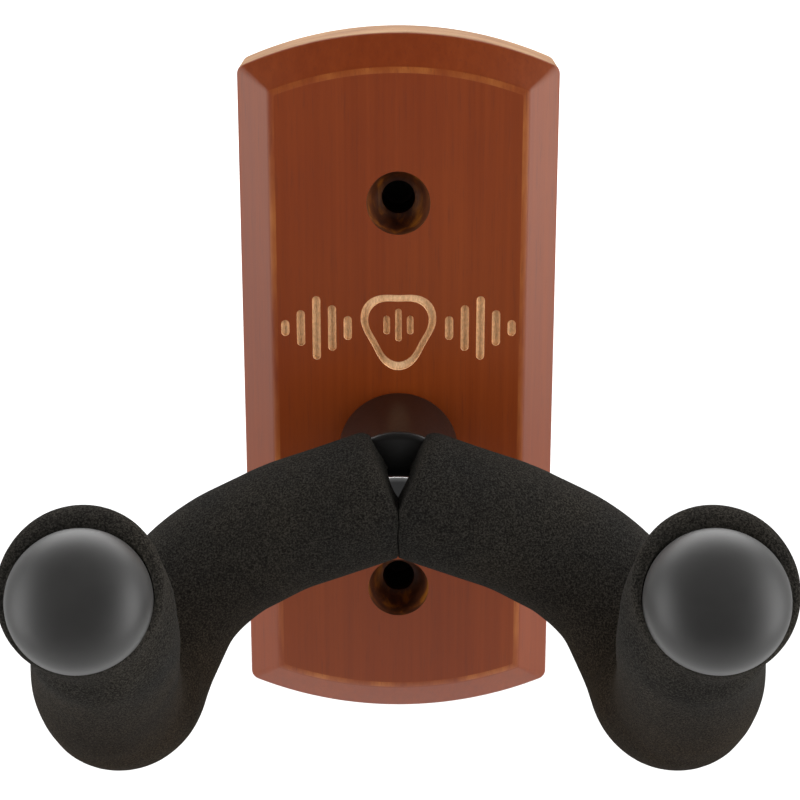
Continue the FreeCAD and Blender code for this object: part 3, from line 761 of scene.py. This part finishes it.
def sleeve_rings(hand):
    """All rings of the right-hand sleeve: out along the skin, then back along the bore."""
    path = rod_path(LEAD)
    path_frames = frames(path)
    tip_direction = path_frames[-1][1]
    up = (Vector((0, 0, 1)) - tip_direction * tip_direction.z).normalized()
    to_go = [0.0] * len(path)
    for number in range(len(path) - 2, -1, -1):
        to_go[number] = to_go[number + 1] + (path[number + 1] - path[number]).length
    travelled, first_square = 0.0, 0
    while travelled < SQUARE_FROM:
        travelled += (path[first_square + 1] - path[first_square]).length
        first_square += 1
    rings, rims = crown_rings(path_frames[0], hand)
    rings += lead_rings(path_frames[0], hand, rims, travelled)
    for (p, t, side, other), distance in zip(path_frames[first_square:], to_go[first_square:]):
        rings.append([p + skin_point(n, up, t, distance) for n in spokes(side, other)])
    rings += tip_rings(path_frames[-1], up)
    rings = [[uneven(v) for v in ring] for ring in rings]
    bore = [[p + n * BORE_RADIUS for n in spokes(side, other)]
            for p, t, side, other in path_frames[::3] if (p - path[0]).length >= BORE_CLEAR]
    return rings + bore[::-1]


def build_sleeve(name, hand):
    """Closed sleeve for the right (hand 1) or left (hand -1) arm, hollowed round the hub."""
    verts, rings = [], []
    for ring in sleeve_rings(hand):
        rings.append(range(len(verts), len(verts) + AROUND))
        verts += [Vector((hand * v.x, v.y, v.z)) for v in ring]
    sleeve = mesh_object(name, verts, stitch(rings + [rings[0]]), FOAM, 60.0)
    behind = -50 * MM
    pocket = [(0.0, behind), (HUB_RADIUS, behind), (HUB_RADIUS, HUB_FRONT), (0.0, HUB_FRONT)]
    cut(sleeve, lathe("hub_tool", pocket, (0, 0, PIVOT_Z), FORWARD, FOAM))
    finish_shading(sleeve.data, 50.0)
    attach(sleeve, "yoke")
    return sleeve


for side_name, hand_sign in SIDES:
    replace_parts(build_sleeve("foam_sleeve_" + side_name, hand_sign), "foam_" + side_name)

# ------------------------------------------------------------------ end caps


def cap_profile():
    """Blind bore, flat back with a small rounded edge, short side and flattened dome."""
    radius, height, edge = 11.0 * MM, 9.2 * MM, 0.5 * MM
    bore_radius, bore_depth = 4.03 * MM, 6.2 * MM
    side_end, dome_start = 1.56 * MM, 1.95 * MM
    edge_steps, dome_steps = 4, 40
    points = [(0.0, bore_depth), (bore_radius, bore_depth), (bore_radius, 0.3 * MM),
              (4.3 * MM, 0.0), (radius - edge, 0.0)]
    for i in range(1, edge_steps + 1):
        a = math.pi / 2 * i / edge_steps
        points.append((radius - edge + edge * math.sin(a), edge * (1 - math.cos(a))))
    points.append((radius, side_end))
    for i in range(dome_steps):
        a = math.pi / 2 * i / dome_steps
        points.append((radius * math.cos(a) ** 0.80,
                       dome_start + (height - dome_start) * math.sin(a) ** 0.84))
    return points + [(0.0, height)]


CAP_GAP = 0.02 * MM
tip = ROD_CORNERS[-1]
tip_axis = (tip - ROD_CORNERS[-2]).normalized()
for side_name, hand_sign in SIDES:
    axis = Vector((hand_sign * tip_axis.x, tip_axis.y, tip_axis.z))
    place = Vector((hand_sign * tip.x, tip.y, tip.z)) + axis * CAP_GAP
    cap = lathe("end_cap_" + side_name, cap_profile(), place, axis, CAP, 128, 50.0)
    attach(cap, "yoke")
    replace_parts(cap, "cap_" + side_name)

# ------------------------------------------------------------------ CAD pieces kept as they are


def soften_edges(obj):
    """Narrow rounded edge where two faces meet sharply."""
    mod = obj.modifiers.new("soft_edges", "BEVEL")
    mod.width = 0.2 * MM
    mod.segments = 2
    mod.limit_method = "ANGLE"
    mod.angle_limit = math.radians(40.0)


for node, material in (("hub", HUB), ("yoke_rod", ROD), ("pivot_post", STEEL),
                       ("steel_washer", STEEL), ("lock_nut", STEEL), ("pivot_bush", NYLON),
                       ("thrust_washer", NYLON), ("nut_ring", NUT_NYLON)):
    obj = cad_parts[node]
    obj.data.materials.clear()
    obj.data.materials.append(material)
    finish_shading(obj.data, 32.0)
    if node in ("lock_nut", "steel_washer", "pivot_bush", "thrust_washer"):
        soften_edges(obj)

# ------------------------------------------------------------------ studio

FLOOR_Z = -0.50
FLOOR_HALF = 12.0
AIM = (0, -0.04, 0)
CAMERA_PLACE = (0.0003, -0.3746, 0.1087)
CAMERA_PITCH = 17.13
CAMERA_LENS = 85.2


def area_light(name, place, target, width, height, power):
    data = bpy.data.lights.new(name, "AREA")
    data.shape = "RECTANGLE"
    data.size, data.size_y = width, height
    data.energy = power
    lamp = bpy.data.objects.new(name, data)
    bpy.context.scene.collection.objects.link(lamp)
    lamp.location = place
    direction = Vector(target) - Vector(place)
    lamp.rotation_mode = "QUATERNION"
    lamp.rotation_quaternion = direction.to_track_quat("-Z", "Y")


def build_floor():
    """Plain pale floor, half a metre below the middle of the block."""
    mat, tree, bsdf = new_material("pale_floor")
    cloud = noise_node(tree, (1.5, 1.5, 1.5), 3.0, 0.5)
    tree.links.new(ramp(tree, cloud, [(0.3, (0.66, 0.66, 0.66)), (0.7, (0.70, 0.70, 0.70))]),
                   bsdf.inputs["Base Color"])
    bsdf.inputs["Roughness"].default_value = 0.9
    bsdf.inputs["Specular IOR Level"].default_value = 0.1
    half, z = FLOOR_HALF, FLOOR_Z
    corners = [(-half, -half, z), (half, -half, z), (half, half, z), (-half, half, z)]
    mesh_object("floor", corners, [(0, 1, 2, 3)], mat)


def build_world():
    """Sky that is bright behind and below, and dark in front and above for the caps' middles."""
    world = bpy.data.worlds.new("studio")
    bpy.context.scene.world = world
    world.use_nodes = True
    tree = world.node_tree
    background = tree.nodes["Background"]
    where = tree.nodes.new("ShaderNodeTexCoord")
    facing = tree.nodes.new("ShaderNodeVectorMath")
    facing.operation = "DOT_PRODUCT"
    facing.inputs[1].default_value = (0.0, 0.80, -0.60)
    tree.links.new(where.outputs["Generated"], facing.inputs[0])
    shade = tree.nodes.new("ShaderNodeMapRange")
    shade.inputs["From Min"].default_value = -0.75
    shade.inputs["From Max"].default_value = 0.30
    shade.inputs["To Min"].default_value = 0.12
    shade.inputs["To Max"].default_value = 1.05
    tree.links.new(facing.outputs["Value"], shade.inputs["Value"])
    colour = tree.nodes.new("ShaderNodeCombineColor")
    for channel in ("Red", "Green", "Blue"):
        tree.links.new(shade.outputs["Result"], colour.inputs[channel])
    tree.links.new(colour.outputs["Color"], background.inputs["Color"])
    background.inputs["Strength"].default_value = 1.0


def build_hole_shade_cards():
    """Painted shade: a small black card close behind each screw hole, standing in for the dark
    shade seen through it, so that no bright floor shows through.
    """
    mat, tree, bsdf = new_material("painted_shade_card")
    tree.links.new(ramp(tree, noise_node(tree, (900.0, 900.0, 900.0)),
                        [(0.3, (0.008, 0.008, 0.007)), (0.7, (0.016, 0.015, 0.013))]),
                   bsdf.inputs["Base Color"])
    bsdf.inputs["Roughness"].default_value = 0.9
    radius, back, front = 3.6 * MM, -0.35 * MM, -0.15 * MM
    profile = [(0.0, back), (radius, back), (radius, front), (0.0, front)]
    for number, z in enumerate(HOLES_Z):
        # painted shade seen through the screw hole
        lathe("hole_shade_card_%d" % number, profile, (0, 0, z), FORWARD, mat, 48)


build_floor()
build_world()
build_hole_shade_cards()
area_light("left_panel", (-0.90, -0.37, 0.19), AIM, 0.55, 1.06, 8.2)
area_light("right_panel", (0.90, -0.37, 0.24), AIM, 0.55, 1.16, 11.4)
area_light("back_top", (0.0, 0.55, 0.75), (0, -0.03, 0), 1.2, 0.5, 1.6)
area_light("floor_wash", (0.0, 4.6, 2.6), (0, 4.6, -0.3), 5.0, 7.4, 440.0)

camera_data = bpy.data.cameras.new("camera")
camera = bpy.data.objects.new("camera", camera_data)
bpy.context.scene.collection.objects.link(camera)
camera_data.sensor_width = 36.0
camera_data.lens = CAMERA_LENS
camera.location = CAMERA_PLACE
camera.rotation_euler = (math.radians(90.0 - CAMERA_PITCH), 0.0, 0.0)
camera_data.clip_start, camera_data.clip_end = 0.01, 100.0
bpy.context.scene.camera = camera
bpy.context.scene.view_settings.view_transform = "Standard"
bpy.context.scene.view_settings.look = "None"
